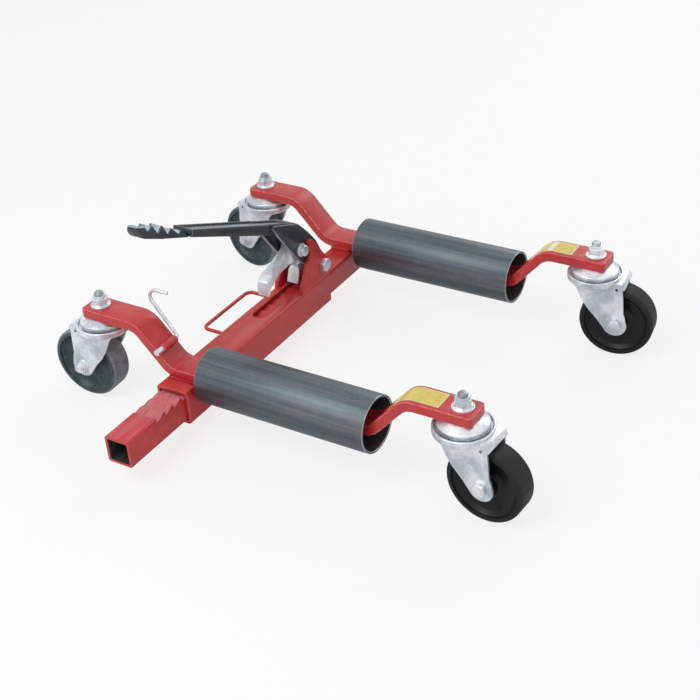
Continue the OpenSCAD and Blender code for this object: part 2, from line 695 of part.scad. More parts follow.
// Upper race: a pressed cap between the arm and the balls, with a skirt round them
cap_r = cap_d / 2;
skirt_in = cap_r - 3;
module caster_cap() {
    race = crown_z + ball_d + 2 * run;
    rotate_extrude($fn = 96) polygon(rounded([
        [king_d / 2 + run, race + 1, 0], [skirt_in - ball_d, race + 1, 1],
        [skirt_in - ball_d + 1, race, 0], [skirt_in, race, 0], [skirt_in, crown_z + 2, 0],
        [cap_r, crown_z + 2, 1], [cap_r, race + 3.4, 2], [cap_r - 11, caster_h, 3],
        [king_d / 2 + run, caster_h, 0]
    ]));
}

// Washer and lock nut on the arm, on the shank of the caster bolt
module caster_nut() {
    washer = 2.2;
    translate([0, 0, caster_h + arm_t]) difference() {
        cylinder(d = king_d + 15, h = washer);
        translate([0, 0, -1]) cylinder(d = king_d + 2 * run, h = washer + 2);
    }
    translate([0, 0, caster_h + arm_t + washer]) lock_nut(king_d, 19, 14, 25);
}

module caster_bolt() {
    head = 7;
    top = caster_h + arm_t + 21;
    translate([0, 0, crown_under - seat]) bolt(king_d, top - crown_under + seat - 2, 18, head);
    translate([0, 0, top - 2]) cylinder(d1 = king_d, d2 = king_d - 4, h = 2);
}

// Pressed fork: round crown with a rolled race, two tapering legs and a rear tongue. The
// front edge of a leg is given from the swivel axis and the crown down, then both edges
// from the wheel axle, and the rear edge from the axle and the crown.
LEG_TOP = [[-29.5, 0], [-21, -8.7], [-15.5, -20.2], [-10.5, -30.2], [-3, -41.2]];
LEG_AXLE = [[-25, 7], [-13, -9], [6, -4], [14.5, 6.7], [13, 14], [11.2, 18.6]];
LEG_REAR = [[10.3, -22.2], [8.5, 0]];
module fork() {
    lug_r = 16;
    leg_back = trail + LEG_REAR[1].x;
    difference() {
        union() {
            rotate_extrude($fn = 96) polygon(rounded([
                [king_d / 2 + run, crown_under, 0], [race_d / 2 - 6, crown_under, 0],
                [race_d / 2 - 3, crown_under - 2, 2], [race_d / 2, crown_under - 2, 1.4],
                [race_d / 2, crown_z + 4, 1.4], [race_d / 2 - 2.6, crown_z + 4, 1],
                [race_d / 2 - 3.4, crown_z, 1], [king_d / 2 + run, crown_z, 0]
            ]));
            for (side = [-1, 1]) translate([0, side * (fork_in + fork_t / 2), 0])
                along_y(fork_t) {
                    polygon([
                        for (p = LEG_TOP) [p.x, crown_under + p.y],
                        for (p = LEG_AXLE) [trail + p.x, wheel_r + p.y],
                        for (p = LEG_REAR) [trail + p.x, crown_under + p.y]
                    ]);
                    translate([trail, wheel_r]) circle(lug_r);
                }
            translate([0, -fork_out, crown_under]) cube([leg_back - 2, 2 * fork_out, fork_t]);
            translate([leg_back - 8, 0, 0]) along_y(2 * fork_out)
                polygon(rounded([
                    [5, crown_z, 0], [8, crown_z, 4], [12, crown_under - 5, 1],
                    [9, crown_under - 5.8, 1], [6, crown_under, 0]
                ]));
        }
        translate([0, 0, crown_under - 1]) cylinder(d = king_d + 2 * run, h = fork_t + 2);
        for (side = [-1, 1]) translate([trail + 1, side * fork_out, crown_under - 6])
            rotate([90, 0, 0]) cylinder(d = 4.2, h = 3 * fork_t, center = true);
        translate([trail, 0, wheel_r]) rotate([90, 0, 0])
            cylinder(d = wheel_bolt_d + 2 * run, h = 4 * fork_out, center = true);
    }
}

module bearing_balls() {
    r = skirt_in - ball_d / 2 - 2 * run;
    for (k = [0:balls - 1]) rotate(360 * k / balls)
        translate([r, 0, crown_z + ball_d / 2 + run]) sphere(d = ball_d, $fn = 32);
}

// Moulded wheel: flat tread with round edges, dished sides and a plain hub
module wheel() {
    hub_r = 15;
    rim_r = wheel_r - 8;
    half = wheel_w / 2;
    web = 6;
    profile = [
        [sleeve_r, -half, 0], [hub_r - 1, -half, 1], [hub_r, -web - 2, 2], [hub_r + 7, -web, 3],
        [rim_r - 5, -web - 2, 4], [rim_r, -half + 3, 1], [rim_r + 1, -half, 0.8],
        [wheel_r, -half, 4.5]
    ];
    back = [for (i = [len(profile) - 1:-1:0]) [profile[i].x, -profile[i].y, profile[i][2]]];
    translate([trail, 0, wheel_r]) rotate([90, 0, 0])
        rotate_extrude($fn = 128) polygon(rounded(concat(profile, back)));
}

// Plain sleeve pressed into the hub, which turns on the wheel bolt between the legs
module wheel_sleeve() {
    translate([trail, 0, wheel_r]) rotate([90, 0, 0]) difference() {
        cylinder(r = sleeve_r, h = 2 * (fork_in - seat), center = true);
        cylinder(d = wheel_bolt_d + 2 * run, h = 2 * fork_out, center = true);
    }
}

module wheel_bolt() {
    translate([trail, -fork_out, wheel_r]) rotate([-90, 0, 0])
        bolt(wheel_bolt_d, 2 * fork_out + 11, 16, 5.5);
    translate([trail, fork_out, wheel_r]) rotate([-90, 0, 0])
        lock_nut(wheel_bolt_d, 16, 9, 19);
}

outer_tube();
color(RED) at_front() arm_inner_bar(front_bend);  // front_arm_inner
color(STEEL) at_front() axle_rod();  // front_axle
color(RED) at_front() arm_outer_bar();  // front_arm_outer
inner_tube();
rack_bar();
rear_arm_pad();
color(RED) at_rear() arm_inner_bar(rear_bend);  // rear_arm_inner
color(STEEL) at_rear() axle_rod();  // rear_axle
color(RED) at_rear() arm_outer_bar();  // rear_arm_outer
color(STEEL) at_front() roller_tube();  // front_roller
color(BLACK) at_front() roller_bushes();  // front_roller_bushes
color(STEEL) at_front() axle_collars();  // front_axle_collars
color(STEEL) at_rear() roller_tube();  // rear_roller
color(BLACK) at_rear() roller_bushes();  // rear_roller_bushes
color(STEEL) at_rear() axle_collars();  // rear_axle_collars
bracket_left();
bracket_right();
pedal_pivot_bolt();
pedal_pivot_nut();
pedal_cheek_left();
pedal_cheek_right();
pedal_lever();
foot_pad();
pawl_pivot_bolt();
pawl_pivot_nut();
drive_pawl();
holding_pawl();
pedal_spring();
holding_pawl_spring();
drive_pawl_spring();
carry_handle();
hook_boss();
storage_hook();
for (i = [0, 2]) color(ZINC) at_caster(i) caster_cap();  // front_caster_caps
for (i = [1, 3]) color(ZINC) at_caster(i) caster_cap();  // rear_caster_caps
for (i = [0, 2]) color(ZINC) at_caster(i) caster_bolt();  // front_caster_bolts
for (i = [1, 3]) color(ZINC) at_caster(i) caster_bolt();  // rear_caster_bolts
for (i = [0, 2]) color(ZINC) at_caster(i) caster_nut();  // front_caster_nuts
for (i = [1, 3]) color(ZINC) at_caster(i) caster_nut();  // rear_caster_nuts
color(ZINC) at_caster(0) fork();  // fork_front_right
color(ZINC) at_caster(1) fork();  // fork_rear_right
color(ZINC) at_caster(2) fork();  // fork_front_left
color(ZINC) at_caster(3) fork();  // fork_rear_left
color(ZINC) at_caster(0) bearing_balls();  // balls_front_right
color(ZINC) at_caster(1) bearing_balls();  // balls_rear_right
color(ZINC) at_caster(2) bearing_balls();  // balls_front_left
color(ZINC) at_caster(3) bearing_balls();  // balls_rear_left
color(BLACK) at_caster(0) wheel();  // wheel_front_right
color(BLACK) at_caster(1) wheel();  // wheel_rear_right
color(BLACK) at_caster(2) wheel();  // wheel_front_left
color(BLACK) at_caster(3) wheel();  // wheel_rear_left
color(ZINC) at_caster(0) wheel_bolt();  // wheel_bolt_front_right
color(ZINC) at_caster(1) wheel_bolt();  // wheel_bolt_rear_right
color(ZINC) at_caster(2) wheel_bolt();  // wheel_bolt_front_left
color(ZINC) at_caster(3) wheel_bolt();  // wheel_bolt_rear_left
color(STEEL) at_caster(0) wheel_sleeve();  // sleeve_front_right
color(STEEL) at_caster(1) wheel_sleeve();  // sleeve_rear_right
color(STEEL) at_caster(2) wheel_sleeve();  // sleeve_front_left
color(STEEL) at_caster(3) wheel_sleeve();  // sleeve_rear_left
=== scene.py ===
"""Dresses the vehicle positioning jack: painted arms and beam, steel rollers, ratchet
pedal, wire hook and swivel casters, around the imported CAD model.

Lengths are in metres in the CAD model's frame: X along the rollers to the open side,
Y from the front arm to the rear arm, Z up from the floor.
"""

from __future__ import annotations

import json
import logging
import math
import random
from dataclasses import dataclass, field
from enum import Enum
from typing import Any, Callable, Iterable, Sequence, Union

import bpy
from mathutils import Matrix, Vector


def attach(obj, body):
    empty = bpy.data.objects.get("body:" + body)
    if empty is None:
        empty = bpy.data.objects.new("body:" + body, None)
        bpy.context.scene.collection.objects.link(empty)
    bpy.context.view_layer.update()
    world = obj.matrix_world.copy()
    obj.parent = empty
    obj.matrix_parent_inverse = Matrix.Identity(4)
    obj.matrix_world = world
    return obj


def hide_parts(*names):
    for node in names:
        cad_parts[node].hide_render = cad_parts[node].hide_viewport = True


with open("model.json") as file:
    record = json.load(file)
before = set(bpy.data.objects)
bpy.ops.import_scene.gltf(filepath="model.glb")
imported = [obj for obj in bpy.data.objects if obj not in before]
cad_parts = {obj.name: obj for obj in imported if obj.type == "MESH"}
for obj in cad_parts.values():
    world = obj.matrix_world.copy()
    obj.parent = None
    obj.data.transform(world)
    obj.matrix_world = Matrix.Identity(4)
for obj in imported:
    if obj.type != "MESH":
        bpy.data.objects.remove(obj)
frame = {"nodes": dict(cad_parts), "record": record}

logging.basicConfig(level=logging.INFO, format="%(message)s")
LOG = logging.getLogger("jack")

Triple = tuple[float, float, float]
Colour = Triple
FaceTest = Callable[[Vector, Vector], bool]
Rings = Sequence[tuple[float, float]]
Material = bpy.types.Material
Piece = bpy.types.Object


def rgb(red: int, green: int, blue: int) -> Colour:
    """Turns a colour of 0 to 255 steps as seen on a screen into linear light.

    Args:
        red: Red step.
        green: Green step.
        blue: Blue step.

    Returns:
        The same colour for a shader socket.
    """
    def one(step: int) -> float:
        """Linear light of one channel."""
        share = step / 255
        return share / 12.92 if share <= 0.04045 else ((share + 0.055) / 1.055) ** 2.4

    return one(red), one(green), one(blue)


# ---- shader maths ----


Operand = Union["Wire", float]


class Wire:
    """One output of a shader node, which adds Math nodes when it is reckoned with."""

    def __init__(self, graph: "Graph", socket: bpy.types.NodeSocket) -> None:
        """Wraps a socket of the graph."""
        self.graph = graph
        self.socket = socket

    def math(self, operation: str, *others: Operand) -> "Wire":
        """Adds a Math node whose first input is this wire.

        Args:
            operation: Name of the Math node's operation.
            others: The other inputs, wires or numbers.

        Returns:
            The node's output.
        """
        inputs = dict(enumerate((self, *others)))
        return self.graph.node("Math", {"operation": operation}, inputs)

    def __add__(self, other: Operand) -> "Wire":
        """Sum of both."""
        return self.math("ADD", other)

    def __radd__(self, other: float) -> "Wire":
        """Sum of both."""
        return self.math("ADD", other)

    def __mul__(self, other: Operand) -> "Wire":
        """Product of both."""
        return self.math("MULTIPLY", other)

    def __rmul__(self, other: float) -> "Wire":
        """Product of both."""
        return self.math("MULTIPLY", other)

    def __sub__(self, other: Operand) -> "Wire":
        """This less the other."""
        return self.math("SUBTRACT", other)

    def __rsub__(self, other: float) -> "Wire":
        """The other less this."""
        return (self * -1.0) + other

    def between(self, low: float, high: float) -> "Wire":
        """Rises from 0 at low to 1 at high, and stays there.

        Args:
            low: Where it is 0.
            high: Where it is 1, which may lie below low.

        Returns:
            The share.
        """
        inputs = {"Value": self, "From Min": low, "From Max": high, "To Min": 0.0,
                  "To Max": 1.0}
        return self.graph.node("MapRange", {"interpolation_type": "SMOOTHSTEP"}, inputs)


class Graph:
    """The node tree of one new material or world."""

    def __init__(self, name: str, kind: str = "materials") -> None:
        """Makes its owner with an empty tree.

        Args:
            name: Name of the owner.
            kind: Which of Blender's lists the owner is in, materials or worlds.
        """
        self.owner = getattr(bpy.data, kind).new(name)
        self.owner.use_nodes = True
        self.tree = self.owner.node_tree
        self.tree.nodes.clear()

    def node(
        self,
        kind: str,
        settings: dict[str, Any] | None = None,
        inputs: dict[Any, Any] | None = None,
        output: int | str = 0,
    ) -> Wire:
        """Adds any node.

        Args:
            kind: Node type, without its ShaderNode in front.
            settings: Properties of the node; "stops" gives a ramp's positions and colours.
            inputs: Sockets by name or number, each a wire, a number, a colour or a vector.
            output: The output that is wanted.

        Returns:
            That output.
        """
        made = self.tree.nodes.new("ShaderNode" + kind)
        for key, value in (settings or {}).items():
            if key == "stops":
                self._fill_ramp(made.color_ramp, value)
            else:
                setattr(made, key, value)
        for key, value in (inputs or {}).items():
            if isinstance(value, Wire):
                self.tree.links.new(value.socket, made.inputs[key])
            elif isinstance(value, tuple) and made.inputs[key].type == "RGBA":
                made.inputs[key].default_value = (*value, 1.0)
            else:
                made.inputs[key].default_value = value
        return Wire(self, made.outputs[output])

    @staticmethod
    def _fill_ramp(ramp: bpy.types.ColorRamp, stops: Sequence[tuple[float, Colour]]) -> None:
        """Sets a ramp's stops.

        Args:
            ramp: The ramp.
            stops: Place and colour of two stops or more, in rising order.
        """
        while len(ramp.elements) < len(stops):
            ramp.elements.new(1.0)
        for element, (place, colour) in zip(ramp.elements, stops):
            element.position = place
            element.color = (*colour, 1.0)

    def place(self) -> Wire:
        """The surface point in the object's own coordinates."""
        return self.node("TexCoord", output="Object")

    def stretched(self, scale: Triple, turn: Triple = (0.0, 0.0, 0.0)) -> Wire:
        """The surface point in a frame that is scaled and turned.

        Args:
            scale: Scale along each axis.
            turn: Turn about each axis in radians.

        Returns:
            The point.
        """
        inputs = {"Vector": self.place(), "Rotation": turn, "Scale": scale}
        return self.node("Mapping", {"vector_type": "POINT"}, inputs)

    def noise(
        self, scale: float, detail: float = 2.0, rough: float = 0.5, at: Wire | None = None
    ) -> Wire:
        """Noise from 0 to 1.

        Args:
            scale: Patches per metre.
            detail: Octaves.
            rough: Strength of the finer octaves.
            at: The point to read at, or the surface point.

        Returns:
            The noise value.
        """
        inputs = {"Vector": at or self.place(), "Scale": scale, "Detail": detail,
                  "Roughness": rough}
        return self.node("TexNoise", {"noise_dimensions": "3D"}, inputs)

    def blend(self, share: Operand, first: Wire | Colour, second: Wire | Colour) -> Wire:
        """Mixes two colours.

        Args:
            share: Share of the second colour, from 0 to 1.
            first: The first colour.
            second: The second colour.

        Returns:
            The mixed colour.
        """
        inputs = {0: share, 6: first, 7: second}
        return self.node("Mix", {"data_type": "RGBA"}, inputs, output=2)

    def bump(self, height: Wire, depth: float) -> Wire:
        """Tilts the normal by a relief.

        Args:
            height: Height of the relief from 0 to 1.
            depth: What a height of 1 stands for, in metres.

        Returns:
            The normal.
        """
        inputs = {"Height": height, "Distance": depth, "Strength": 1.0}
        return self.node("Bump", None, inputs)

    def shade(self, **sockets: Any) -> Wire:
        """Adds a Principled shader.

        Args:
            sockets: Its sockets by name with underscores for spaces.

        Returns:
            The shader.
        """
        inputs = {key.replace("_", " "): value for key, value in sockets.items()}
        return self.node("BsdfPrincipled", None, inputs, output="BSDF")

    def close(self, shader: Wire, kind: str = "OutputMaterial") -> Any:
        """Ends the tree in a shader.

        Args:
            shader: The shader.
            kind: Type of the output node, without its ShaderNode in front.

        Returns:
            The tree's owner.
        """
        end = self.tree.nodes.new("ShaderNode" + kind)
        self.tree.links.new(shader.socket, end.inputs["Surface"])
        return self.owner

    def surface(self, **sockets: Any) -> Material:
        """Ends the tree in a Principled shader with these sockets."""
        return self.close(self.shade(**sockets))


# ---- layout ----


@dataclass(frozen=True)
class Layout:
    """Places of the object, and the widths of the roundings on small pieces."""

    beam_x: float = -0.1557
    front_y: float = -0.1915
    rear_y: float = 0.1915
    beam_top: float = 0.0732
    outer_half: float = 0.024
    outer_hollow: float = 0.0195
    inner_hollow: float = 0.015
    arm_half: float = 0.019
    arm_thickness: float = 0.0127
    left_bolt_x: float = -0.2922
    right_bolt_x: float = 0.2373
    pivot_y: float = 0.0932
    lever_rise: float = 0.0596
    lever_slope: float = math.radians(23.7)
    pivot_z: float = 0.092
    arm_slope: float = math.radians(48.0)
    bend_x: float = 0.18268
    bend_z: float = 0.10565
    bend_radius: float = 0.03435
    fine_edge: float = 0.0003
    small_edge: float = 0.0004


PLAN = Layout()


# ---- finishes ----


@dataclass(frozen=True)
class Paint:
    """Sprayed satin enamel on steel, a little uneven and with a few small chips."""

    name: str
    colour: Colour
    shade: Colour
    chip: Colour
    roughness: float = 0.34
    chips: float = 0.74
    peel_depth: float = 0.00012
    coat: float = 0.12
    coat_roughness: float = 0.25

    def make(self) -> Material:
        """Makes the finish.

        Returns:
            The material.
        """
        g = Graph(self.name)
        broad = g.noise(14.0, 3.0)
        cloud = g.noise(90.0, 4.0, 0.6)
        tone = broad * 0.6 + cloud * 0.4
        body = g.blend(tone.between(0.3, 0.68), self.shade, self.colour)
        specks = g.noise(520.0, 3.0, 0.55).between(self.chips, self.chips + 0.03)
        scarce = g.noise(30.0, 2.0).between(0.5, 0.6)
        chipped = specks * scarce
        peel = g.noise(650.0, 2.0) * 0.6 + cloud * 0.4
        return g.surface(
            Base_Color=g.blend(chipped, body, self.chip),
            Roughness=broad * 0.16 + chipped * 0.2 + (self.roughness - 0.06),
            Normal=g.bump(peel - chipped * 0.6, self.peel_depth),
            Coat_Weight=self.coat,
            Coat_Roughness=self.coat_roughness,
        )


@dataclass(frozen=True)
class WornEdge:
    """Paint rubbed thin along an edge, down to the steel in places."""

    name: str
    paint: Colour
    thin: Colour
    steel: Colour
    bare: float
    patches: Triple = (160.0, 160.0, 160.0)

    def make(self) -> Material:
        """Makes the finish; bare is the share of the edge where steel shows.

        Returns:
            The material.
        """
        g = Graph(self.name)
        patch = g.noise(1.0, 4.0, 0.65, g.stretched(self.patches))
        rubbed = patch.between(0.36, 0.6)
        open_steel = patch.between(0.86 - self.bare * 0.5, 0.9 - self.bare * 0.5)
        thinned = g.blend(rubbed, self.paint, self.thin)
        return g.surface(
            Base_Color=g.blend(open_steel, thinned, self.steel),
            Metallic=open_steel * 0.8,
            Roughness=0.42 - open_steel * 0.12 + rubbed * 0.08,
            Normal=g.bump(g.noise(900.0, 2.0) - open_steel * 0.5, 0.0001),
        )


@dataclass(frozen=True)
class FootWearAndHighlight:
    """Black paint with a pale band in the middle of the pedal, shoe wear and painted
    highlight.
    """

    name: str
    paint: Colour
    pale: Colour
    middle: float
    half_width: float

    def make(self) -> Material:
        """Makes the finish; the pale band of wear and painted highlight lies round X =
        middle.

        Returns:
            The material.
        """
        g = Graph(self.name)
        x = g.node("SeparateXYZ", None, {0: g.place()}, output="X")
        off = (x - self.middle).math("ABSOLUTE")
        ragged = off + g.noise(240.0, 4.0, 0.6) * 0.003
        band = ragged.between(self.half_width + 0.0025, self.half_width)
        streaks = g.noise(1.0, 3.0, 0.6, g.stretched((900.0, 90.0, 90.0)))
        # The pale band is shoe wear and painted highlight.
        worn = band * streaks.between(0.2, 0.55)
        return g.surface(
            Base_Color=g.blend(worn, self.paint, self.pale),
            Metallic=worn * 0.35,
            Roughness=0.42 - worn * 0.08,
            Normal=g.bump(streaks - worn * 0.4, 0.0001),
        )


@dataclass(frozen=True)
class Plated:
    """Zinc or nickel plate with fine rubbing marks and faint clouding.

    Above the height thread_from it carries a screw thread.
    """

    name: str
    light: Colour
    dark: Colour
    roughness: float = 0.27
    metallic: float = 0.9
    thread_from: float | None = None
    thread_pitch: float = 0.00175
    thread_run_out: float = 0.0002
    thread_depth: float = 0.0005

    def make(self) -> Material:
        """Makes the finish.

        Returns:
            The material.
        """
        g = Graph(self.name)
        cloud = g.noise(34.0, 4.0, 0.6)
        grain = g.noise(1.0, 3.0, 0.6, g.stretched((260.0, 260.0, 1900.0)))
        rubs = g.noise(1.0, 2.0, 0.5, g.stretched((1500.0, 160.0, 500.0), (0.3, 0.2, 0.7)))
        tone = cloud * 0.65 + grain * 0.2 + rubs * 0.15
        colour = g.blend(tone.between(0.4, 0.6), self.dark, self.light)
        normal = g.bump(grain * 0.6 + rubs * 0.4, 0.00006)
        if self.thread_from is not None:
            height = g.node("SeparateXYZ", None, {0: g.place()}, output="Z")
            wave = (height * (math.tau / self.thread_pitch)).math("SINE") * 0.5 + 0.5
            cut = wave * height.between(self.thread_from,
                                        self.thread_from + self.thread_run_out)
            # Darker stripes along the thread are painted shade.
            colour = g.blend(cut * 0.4, colour, self.dark)
            normal = g.bump(cut, self.thread_depth)
        return g.surface(
            Base_Color=colour,
            Metallic=self.metallic,
            Roughness=cloud * 0.2 + grain * 0.12 + (self.roughness - 0.1),
            Normal=normal,
        )


@dataclass(frozen=True)
class DrawnSteel:
    """Bare drawn tube: blue-grey mill finish with streaks along X and a mauve cast."""

    name: str
    dark: Colour
    middle: Colour
    light: Colour

    def make(self) -> Material:
        """Makes the finish.

        Returns:
            The material.
        """
        g = Graph(self.name)
        streaks = g.noise(1.0, 4.0, 0.65, g.stretched((5.0, 260.0, 260.0)))
        bands = g.noise(1.0, 2.0, 0.5, g.stretched((1.6, 52.0, 52.0)))
        scale = g.noise(150.0, 4.0, 0.6)
        tone = streaks * 0.45 + bands * 0.4 + scale * 0.15
        colour = g.node(
            "ValToRGB",
            {"stops": [(0.3, self.dark), (0.5, self.middle), (0.7, self.light)]},
            {"Fac": tone},
        )
        pits = g.noise(700.0, 2.0).between(0.68, 0.74)
        return g.surface(
            Base_Color=g.blend(pits * 0.6, colour, self.dark),
            Metallic=0.75,
            Roughness=streaks * 0.22 + scale * 0.1 + 0.26,
            Normal=g.bump(streaks * 0.7 - pits * 0.5, 0.00009),
        )


@dataclass(frozen=True)
class MouldedWheel:
    """Moulded wheel, scuffed pale on its tread and smooth on its sides."""

    name: str
    colour: Colour
    scuff: Colour
    centre: Triple
    axle: Triple
    tread_radius: float
    haziness: float
    roughness: float = 0.36
    gloss: float = 0.26

    def make(self) -> Material:
        """Makes the finish.

        Returns:
            The material.
        """
        g = Graph(self.name)
        kind = "VectorMath"
        arm = g.node(kind, {"operation": "SUBTRACT"}, {0: g.place(), 1: self.centre})
        across = g.node(kind, {"operation": "CROSS_PRODUCT"}, {0: arm, 1: self.axle})
        radius = g.node(kind, {"operation": "LENGTH"}, {0: across}, output="Value")
        tread = radius.between(self.tread_radius - 0.004, self.tread_radius - 0.0012)
        dust = g.noise(70.0, 5.0, 0.65)
        marks = g.noise(420.0, 3.0, 0.6)
        worn = tread * ((dust * 0.6 + marks * 0.5).between(0.38, 0.74) * 0.4 + 0.34)
        haze = dust.between(0.42, 0.75) * self.haziness
        return g.surface(
            Base_Color=g.blend(worn * 0.85 + haze, self.colour, self.scuff),
            Roughness=worn * 0.4 + haze * 0.6 + self.roughness,
            Specular_IOR_Level=self.gloss,
            Normal=g.bump(marks * (tread * 0.8 + 0.2), 0.00018),
        )


@dataclass(frozen=True)
class PlainPlastic:
    """Moulded nylon with a fine grain."""

    name: str
    colour: Colour
    roughness: float = 0.5

    def make(self) -> Material:
        """Makes the finish.

        Returns:
            The material.
        """
        g = Graph(self.name)
        grain = g.noise(900.0, 2.0)
        cloud = g.noise(60.0, 3.0)
        lighter = tuple(min(1.0, c * 1.35 + 0.01) for c in self.colour)
        return g.surface(
            Base_Color=g.blend(cloud, self.colour, lighter),
            Roughness=cloud * 0.14 + (self.roughness - 0.07),
            Normal=g.bump(grain, 0.00008),
        )


@dataclass(frozen=True)
class PrintedFilm:
    """Plain coloured film stuck on the paint, a little dusty and faintly rippled."""

    name: str
    colour: Colour
    faded: Colour

    def make(self) -> Material:
        """Makes the finish.

        Returns:
            The material.
        """
        g = Graph(self.name)
        fade = g.noise(120.0, 4.0, 0.6)
        return g.surface(
            Base_Color=g.blend(fade.between(0.4, 0.7), self.colour, self.faded),
            Roughness=fade * 0.15 + 0.3,
            Normal=g.bump(g.noise(210.0, 2.0), 0.0002),
            Coat_Weight=0.3,
        )


@dataclass(frozen=True)
class PaleFloor:
    """Plain pale studio floor that keeps soft shadows."""

    name: str = "pale_floor"
    level: float = 0.95
    mottle: float = 0.01
    roughness: float = 0.85
    whitening: float = 0.78

    def make(self) -> Material:
        """Makes the finish; the camera sees it paler by the whitening.

        Returns:
            The material.
        """
        g = Graph(self.name)
        low, high = (self.level - self.mottle,) * 3, (self.level,) * 3
        shaded = g.shade(Base_Color=g.blend(g.noise(3.0, 2.0), low, high),
                         Roughness=self.roughness)
        white = g.node("Emission", None, {"Color": (1.0, 1.0, 1.0)})
        share = g.node("LightPath", output="Is Camera Ray") * self.whitening
        return g.close(g.node("MixShader", None, {0: share, 1: shaded, 2: white}))


class Finish(Enum):
    """The finishes of the object.

    None has the name of a material slot of the frame, because that slot's own plain
    material would then be taken for it.
    """

    RED = Paint("red_enamel", rgb(206, 52, 54), rgb(182, 40, 43), rgb(226, 190, 188))
    RED_BEAD = Paint("bead_enamel", rgb(206, 54, 57), rgb(178, 38, 42), rgb(232, 200, 198),
                     0.2, 0.7, 0.0002)
    RED_EDGE = WornEdge("red_edge", rgb(210, 64, 67), rgb(232, 126, 129),
                        rgb(220, 196, 197), 0.2)
    RED_RUBBED = WornEdge("red_rubbed", rgb(198, 88, 94), rgb(206, 116, 122),
                          rgb(206, 150, 154), 0.0, (300.0, 40.0, 40.0))
    RED_STREAKED = WornEdge("red_streaked", rgb(204, 56, 60), rgb(208, 92, 98),
                            rgb(214, 150, 154), 0.06, (300.0, 16.0, 300.0))
    # Near-black finish for the insides of the tubes, the roller bores and the rack's
    # underside: bare steel darkened as painted shade in the hollows.
    INSIDE = WornEdge("tube_inside_shade", rgb(36, 38, 37), rgb(56, 55, 52), rgb(90, 88, 84),
                      0.05)
    BLACK = Paint("black_enamel", rgb(38, 46, 49), rgb(20, 22, 25), rgb(150, 155, 160),
                  0.36, 0.7)
    BLACK_EDGE = WornEdge("black_edge", rgb(62, 68, 74), rgb(126, 134, 144),
                          rgb(176, 184, 194), 0.5)
    # Pale grey with worn patches: painted highlight on the lever's groove floor, and wear
    # with painted highlight on the cheeks' lower front faces.
    GROOVE = WornEdge("groove_highlight_and_wear", rgb(126, 136, 144), rgb(154, 163, 171),
                      rgb(180, 188, 196), 0.2, (220.0, 30.0, 60.0))
    # Tread and tip: a pale band of wear and painted highlight; the tip's greyer paint is
    # also painted highlight on its up-facing faces.
    TREAD = FootWearAndHighlight("foot_tread", rgb(36, 40, 45), rgb(166, 182, 196), PLAN.beam_x, 0.0072)
    TONGUE = FootWearAndHighlight("foot_tip", rgb(78, 88, 98), rgb(158, 174, 188), PLAN.beam_x, 0.0082)
    ZINC = Plated("bright_zinc", rgb(241, 244, 248), rgb(188, 196, 205), 0.27, 0.6)
    ZINC_EDGE = Plated("zinc_edge", rgb(208, 213, 218), rgb(160, 166, 172), 0.2)
    STUD = Plated("threaded_stud", rgb(196, 202, 208), rgb(132, 140, 148),
                  thread_from=0.1562)
    CAST_ZINC = Plated("cast_zinc", rgb(244, 248, 250), rgb(208, 216, 222), 0.38, 0.4)
    ROLLER = DrawnSteel("roller_steel", rgb(56, 66, 74), rgb(92, 101, 107),
                        rgb(129, 126, 130))
    SPRING = Plated("dark_wire", rgb(90, 92, 98), rgb(50, 52, 58), 0.3)
    BALL = Plated("ball_steel", rgb(225, 227, 230), rgb(190, 194, 200), 0.14)
    NYLON = PlainPlastic("moulded_nylon", rgb(40, 40, 42))
    FILM = PrintedFilm("yellow_film", rgb(226, 205, 92), rgb(214, 190, 84))
    FILM_EDGE = PrintedFilm("film_border", rgb(240, 232, 176), rgb(232, 220, 150))
    FILM_PALE = PrintedFilm("film_pale", rgb(240, 240, 232), rgb(230, 230, 220))

    @property
    def material(self) -> Material:
        """The one material of this finish, made when it is first asked for."""
        made = bpy.data.materials.get(self.value.name)
        return made or self.value.make()


# ---- the bench ----


